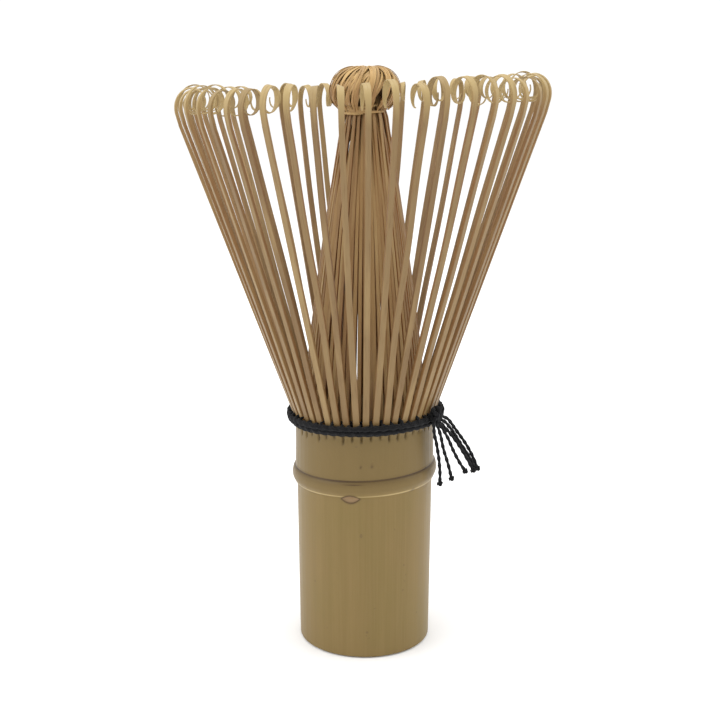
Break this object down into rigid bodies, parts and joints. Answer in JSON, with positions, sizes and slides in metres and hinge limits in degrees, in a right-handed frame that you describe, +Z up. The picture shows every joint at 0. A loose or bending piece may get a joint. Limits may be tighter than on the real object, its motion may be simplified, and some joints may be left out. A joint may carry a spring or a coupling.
{
  "type": "bamboo tea whisk",
  "caption": "Bamboo tea whisk: a hollow culm handle with a node, a flared ring of curled outer tines round a gathered inner bundle, bound at the roots with black thread.",
  "frame": {"origin": "centre of the handle's foot, on the surface it stands on", "axes": "+Z up the handle towards the tines; the thread's knot and loose ends are towards +X and -Y"},
  "size_m": [0.0682, 0.0682, 0.1113],
  "materials": {
    "culm": "satin bamboo skin",
    "tine": "split bamboo, fine straight grain",
    "inner_tine": "split bamboo, fine straight grain",
    "thread": "twisted black cotton"
  },
  "bodies": {
    "whisk": {"culm": "culm", "inner_tines": "inner_tine", "binding_thread": "thread", "lacing_thread": "thread", "binding_knot": "thread", "thread_end_1": "thread", "thread_end_2": "thread", "thread_end_3": "thread", "thread_end_4": "thread", "thread_end_5": "thread", "thread_end_6": "thread"},
    "tine_01": {"outer_tine_01": "tine"},
    "tine_02": {"outer_tine_02": "tine"},
    "tine_03": {"outer_tine_03": "tine"},
    "tine_04": {"outer_tine_04": "tine"},
    "tine_05": {"outer_tine_05": "tine"},
    "tine_06": {"outer_tine_06": "tine"},
    "tine_07": {"outer_tine_07": "tine"},
    "tine_08": {"outer_tine_08": "tine"},
    "tine_09": {"outer_tine_09": "tine"},
    "tine_10": {"outer_tine_10": "tine"},
    "tine_11": {"outer_tine_11": "tine"},
    "tine_12": {"outer_tine_12": "tine"},
    "tine_13": {"outer_tine_13": "tine"},
    "tine_14": {"outer_tine_14": "tine"},
    "tine_15": {"outer_tine_15": "tine"},
    "tine_16": {"outer_tine_16": "tine"},
    "tine_17": {"outer_tine_17": "tine"},
    "tine_18": {"outer_tine_18": "tine"},
    "tine_19": {"outer_tine_19": "tine"},
    "tine_20": {"outer_tine_20": "tine"},
    "tine_21": {"outer_tine_21": "tine"},
    "tine_22": {"outer_tine_22": "tine"},
    "tine_23": {"outer_tine_23": "tine"},
    "tine_24": {"outer_tine_24": "tine"},
    "tine_25": {"outer_tine_25": "tine"},
    "tine_26": {"outer_tine_26": "tine"},
    "tine_27": {"outer_tine_27": "tine"},
    "tine_28": {"outer_tine_28": "tine"},
    "tine_29": {"outer_tine_29": "tine"},
    "tine_30": {"outer_tine_30": "tine"},
    "tine_31": {"outer_tine_31": "tine"},
    "tine_32": {"outer_tine_32": "tine"},
    "tine_33": {"outer_tine_33": "tine"},
    "tine_34": {"outer_tine_34": "tine"},
    "tine_35": {"outer_tine_35": "tine"},
    "tine_36": {"outer_tine_36": "tine"},
    "tine_37": {"outer_tine_37": "tine"},
    "tine_38": {"outer_tine_38": "tine"},
    "tine_39": {"outer_tine_39": "tine"},
    "tine_40": {"outer_tine_40": "tine"},
    "tine_41": {"outer_tine_41": "tine"},
    "tine_42": {"outer_tine_42": "tine"},
    "tine_43": {"outer_tine_43": "tine"},
    "tine_44": {"outer_tine_44": "tine"},
    "tine_45": {"outer_tine_45": "tine"},
    "tine_46": {"outer_tine_46": "tine"},
    "tine_47": {"outer_tine_47": "tine"},
    "tine_48": {"outer_tine_48": "tine"}
  },
  "joints": [
    {"name": "tine_flex_01", "type": "hinge", "parent": "whisk", "child": "tine_01", "pos_m": [0.01372, 0.00032, 0.046], "axis": [-0.0236, 0.9997, 0], "range_deg": [-8, 5], "stiffness_Nm_per_rad": 0.005},
    {"name": "tine_flex_02", "type": "hinge", "parent": "whisk", "child": "tine_02", "pos_m": [0.01356, 0.00211, 0.046], "axis": [-0.1538, 0.9881, 0], "range_deg": [-8, 5], "stiffness_Nm_per_rad": 0.005},
    {"name": "tine_flex_03", "type": "hinge", "parent": "whisk", "child": "tine_03", "pos_m": [0.01316, 0.00386, 0.046], "axis": [-0.2815, 0.9596, 0], "range_deg": [-8, 5], "stiffness_Nm_per_rad": 0.005},
    {"name": "tine_flex_04", "type": "hinge", "parent": "whisk", "child": "tine_04", "pos_m": [0.01255, 0.00555, 0.046], "axis": [-0.4043, 0.9146, 0], "range_deg": [-8, 5], "stiffness_Nm_per_rad": 0.005},
    {"name": "tine_flex_05", "type": "hinge", "parent": "whisk", "child": "tine_05", "pos_m": [0.01172, 0.00714, 0.046], "axis": [-0.5203, 0.854, 0], "range_deg": [-8, 5], "stiffness_Nm_per_rad": 0.005},
    {"name": "tine_flex_06", "type": "hinge", "parent": "whisk", "child": "tine_06", "pos_m": [0.01069, 0.00861, 0.046], "axis": [-0.6273, 0.7788, 0], "range_deg": [-8, 5], "stiffness_Nm_per_rad": 0.005},
    {"name": "tine_flex_07", "type": "hinge", "parent": "whisk", "child": "tine_07", "pos_m": [0.00947, 0.00993, 0.046], "axis": [-0.7236, 0.6903, 0], "range_deg": [-8, 5], "stiffness_Nm_per_rad": 0.005},
    {"name": "tine_flex_08", "type": "hinge", "parent": "whisk", "child": "tine_08", "pos_m": [0.00809, 0.01108, 0.046], "axis": [-0.8075, 0.5899, 0], "range_deg": [-8, 5], "stiffness_Nm_per_rad": 0.005},
    {"name": "tine_flex_09", "type": "hinge", "parent": "whisk", "child": "tine_09", "pos_m": [0.00658, 0.01204, 0.046], "axis": [-0.8776, 0.4795, 0], "range_deg": [-8, 5], "stiffness_Nm_per_rad": 0.005},
    {"name": "tine_flex_10", "type": "hinge", "parent": "whisk", "child": "tine_10", "pos_m": [0.00495, 0.0128, 0.046], "axis": [-0.9326, 0.3608, 0], "range_deg": [-8, 5], "stiffness_Nm_per_rad": 0.005},
    {"name": "tine_flex_11", "type": "hinge", "parent": "whisk", "child": "tine_11", "pos_m": [0.00324, 0.01333, 0.046], "axis": [-0.9718, 0.236, 0], "range_deg": [-8, 5], "stiffness_Nm_per_rad": 0.005},
    {"name": "tine_flex_12", "type": "hinge", "parent": "whisk", "child": "tine_12", "pos_m": [0.00147, 0.01364, 0.046], "axis": [-0.9942, 0.1071, 0], "range_deg": [-8, 5], "stiffness_Nm_per_rad": 0.005},
    {"name": "tine_flex_13", "type": "hinge", "parent": "whisk", "child": "tine_13", "pos_m": [-0.00032, 0.01372, 0.046], "axis": [-0.9997, -0.0236, 0], "range_deg": [-8, 5], "stiffness_Nm_per_rad": 0.005},
    {"name": "tine_flex_14", "type": "hinge", "parent": "whisk", "child": "tine_14", "pos_m": [-0.00211, 0.01356, 0.046], "axis": [-0.9881, -0.1538, 0], "range_deg": [-8, 5], "stiffness_Nm_per_rad": 0.005},
    {"name": "tine_flex_15", "type": "hinge", "parent": "whisk", "child": "tine_15", "pos_m": [-0.00386, 0.01316, 0.046], "axis": [-0.9596, -0.2815, 0], "range_deg": [-8, 5], "stiffness_Nm_per_rad": 0.005},
    {"name": "tine_flex_16", "type": "hinge", "parent": "whisk", "child": "tine_16", "pos_m": [-0.00555, 0.01255, 0.046], "axis": [-0.9146, -0.4043, 0], "range_deg": [-8, 5], "stiffness_Nm_per_rad": 0.005},
    {"name": "tine_flex_17", "type": "hinge", "parent": "whisk", "child": "tine_17", "pos_m": [-0.00714, 0.01172, 0.046], "axis": [-0.854, -0.5203, 0], "range_deg": [-8, 5], "stiffness_Nm_per_rad": 0.005},
    {"name": "tine_flex_18", "type": "hinge", "parent": "whisk", "child": "tine_18", "pos_m": [-0.00861, 0.01069, 0.046], "axis": [-0.7788, -0.6273, 0], "range_deg": [-8, 5], "stiffness_Nm_per_rad": 0.005},
    {"name": "tine_flex_19", "type": "hinge", "parent": "whisk", "child": "tine_19", "pos_m": [-0.00993, 0.00947, 0.046], "axis": [-0.6903, -0.7236, 0], "range_deg": [-8, 5], "stiffness_Nm_per_rad": 0.005},
    {"name": "tine_flex_20", "type": "hinge", "parent": "whisk", "child": "tine_20", "pos_m": [-0.01108, 0.00809, 0.046], "axis": [-0.5899, -0.8075, 0], "range_deg": [-8, 5], "stiffness_Nm_per_rad": 0.005},
    {"name": "tine_flex_21", "type": "hinge", "parent": "whisk", "child": "tine_21", "pos_m": [-0.01204, 0.00658, 0.046], "axis": [-0.4795, -0.8776, 0], "range_deg": [-8, 5], "stiffness_Nm_per_rad": 0.005},
    {"name": "tine_flex_22", "type": "hinge", "parent": "whisk", "child": "tine_22", "pos_m": [-0.0128, 0.00495, 0.046], "axis": [-0.3608, -0.9326, 0], "range_deg": [-8, 5], "stiffness_Nm_per_rad": 0.005},
    {"name": "tine_flex_23", "type": "hinge", "parent": "whisk", "child": "tine_23", "pos_m": [-0.01333, 0.00324, 0.046], "axis": [-0.236, -0.9718, 0], "range_deg": [-8, 5], "stiffness_Nm_per_rad": 0.005},
    {"name": "tine_flex_24", "type": "hinge", "parent": "whisk", "child": "tine_24", "pos_m": [-0.01364, 0.00147, 0.046], "axis": [-0.1071, -0.9942, 0], "range_deg": [-8, 5], "stiffness_Nm_per_rad": 0.005},
    {"name": "tine_flex_25", "type": "hinge", "parent": "whisk", "child": "tine_25", "pos_m": [-0.01372, -0.00032, 0.046], "axis": [0.0236, -0.9997, 0], "range_deg": [-8, 5], "stiffness_Nm_per_rad": 0.005},
    {"name": "tine_flex_26", "type": "hinge", "parent": "whisk", "child": "tine_26", "pos_m": [-0.01356, -0.00211, 0.046], "axis": [0.1538, -0.9881, 0], "range_deg": [-8, 5], "stiffness_Nm_per_rad": 0.005},
    {"name": "tine_flex_27", "type": "hinge", "parent": "whisk", "child": "tine_27", "pos_m": [-0.01316, -0.00386, 0.046], "axis": [0.2815, -0.9596, 0], "range_deg": [-8, 5], "stiffness_Nm_per_rad": 0.005},
    {"name": "tine_flex_28", "type": "hinge", "parent": "whisk", "child": "tine_28", "pos_m": [-0.01255, -0.00555, 0.046], "axis": [0.4043, -0.9146, 0], "range_deg": [-8, 5], "stiffness_Nm_per_rad": 0.005},
    {"name": "tine_flex_29", "type": "hinge", "parent": "whisk", "child": "tine_29", "pos_m": [-0.01172, -0.00714, 0.046], "axis": [0.5203, -0.854, 0], "range_deg": [-8, 5], "stiffness_Nm_per_rad": 0.005},
    {"name": "tine_flex_30", "type": "hinge", "parent": "whisk", "child": "tine_30", "pos_m": [-0.01069, -0.00861, 0.046], "axis": [0.6273, -0.7788, 0], "range_deg": [-8, 5], "stiffness_Nm_per_rad": 0.005},
    {"name": "tine_flex_31", "type": "hinge", "parent": "whisk", "child": "tine_31", "pos_m": [-0.00947, -0.00993, 0.046], "axis": [0.7236, -0.6903, 0], "range_deg": [-8, 5], "stiffness_Nm_per_rad": 0.005},
    {"name": "tine_flex_32", "type": "hinge", "parent": "whisk", "child": "tine_32", "pos_m": [-0.00809, -0.01108, 0.046], "axis": [0.8075, -0.5899, 0], "range_deg": [-8, 5], "stiffness_Nm_per_rad": 0.005},
    {"name": "tine_flex_33", "type": "hinge", "parent": "whisk", "child": "tine_33", "pos_m": [-0.00658, -0.01204, 0.046], "axis": [0.8776, -0.4795, 0], "range_deg": [-8, 5], "stiffness_Nm_per_rad": 0.005},
    {"name": "tine_flex_34", "type": "hinge", "parent": "whisk", "child": "tine_34", "pos_m": [-0.00495, -0.0128, 0.046], "axis": [0.9326, -0.3608, 0], "range_deg": [-8, 5], "stiffness_Nm_per_rad": 0.005},
    {"name": "tine_flex_35", "type": "hinge", "parent": "whisk", "child": "tine_35", "pos_m": [-0.00324, -0.01333, 0.046], "axis": [0.9718, -0.236, 0], "range_deg": [-8, 5], "stiffness_Nm_per_rad": 0.005},
    {"name": "tine_flex_36", "type": "hinge", "parent": "whisk", "child": "tine_36", "pos_m": [-0.00147, -0.01364, 0.046], "axis": [0.9942, -0.1071, 0], "range_deg": [-8, 5], "stiffness_Nm_per_rad": 0.005},
    {"name": "tine_flex_37", "type": "hinge", "parent": "whisk", "child": "tine_37", "pos_m": [0.00032, -0.01372, 0.046], "axis": [0.9997, 0.0236, 0], "range_deg": [-8, 5], "stiffness_Nm_per_rad": 0.005},
    {"name": "tine_flex_38", "type": "hinge", "parent": "whisk", "child": "tine_38", "pos_m": [0.00211, -0.01356, 0.046], "axis": [0.9881, 0.1538, 0], "range_deg": [-8, 5], "stiffness_Nm_per_rad": 0.005},
    {"name": "tine_flex_39", "type": "hinge", "parent": "whisk", "child": "tine_39", "pos_m": [0.00386, -0.01316, 0.046], "axis": [0.9596, 0.2815, 0], "range_deg": [-8, 5], "stiffness_Nm_per_rad": 0.005},
    {"name": "tine_flex_40", "type": "hinge", "parent": "whisk", "child": "tine_40", "pos_m": [0.00555, -0.01255, 0.046], "axis": [0.9146, 0.4043, 0], "range_deg": [-8, 5], "stiffness_Nm_per_rad": 0.005},
    {"name": "tine_flex_41", "type": "hinge", "parent": "whisk", "child": "tine_41", "pos_m": [0.00714, -0.01172, 0.046], "axis": [0.854, 0.5203, 0], "range_deg": [-8, 5], "stiffness_Nm_per_rad": 0.005},
    {"name": "tine_flex_42", "type": "hinge", "parent": "whisk", "child": "tine_42", "pos_m": [0.00861, -0.01069, 0.046], "axis": [0.7788, 0.6273, 0], "range_deg": [-8, 5], "stiffness_Nm_per_rad": 0.005},
    {"name": "tine_flex_43", "type": "hinge", "parent": "whisk", "child": "tine_43", "pos_m": [0.00993, -0.00947, 0.046], "axis": [0.6903, 0.7236, 0], "range_deg": [-8, 5], "stiffness_Nm_per_rad": 0.005},
    {"name": "tine_flex_44", "type": "hinge", "parent": "whisk", "child": "tine_44", "pos_m": [0.01108, -0.00809, 0.046], "axis": [0.5899, 0.8075, 0], "range_deg": [-8, 5], "stiffness_Nm_per_rad": 0.005},
    {"name": "tine_flex_45", "type": "hinge", "parent": "whisk", "child": "tine_45", "pos_m": [0.01204, -0.00658, 0.046], "axis": [0.4795, 0.8776, 0], "range_deg": [-8, 5], "stiffness_Nm_per_rad": 0.005},
    {"name": "tine_flex_46", "type": "hinge", "parent": "whisk", "child": "tine_46", "pos_m": [0.0128, -0.00495, 0.046], "axis": [0.3608, 0.9326, 0], "range_deg": [-8, 5], "stiffness_Nm_per_rad": 0.005},
    {"name": "tine_flex_47", "type": "hinge", "parent": "whisk", "child": "tine_47", "pos_m": [0.01333, -0.00324, 0.046], "axis": [0.236, 0.9718, 0], "range_deg": [-8, 5], "stiffness_Nm_per_rad": 0.005},
    {"name": "tine_flex_48", "type": "hinge", "parent": "whisk", "child": "tine_48", "pos_m": [0.01364, -0.00147, 0.046], "axis": [0.1071, 0.9942, 0], "range_deg": [-8, 5], "stiffness_Nm_per_rad": 0.005}
  ]
}
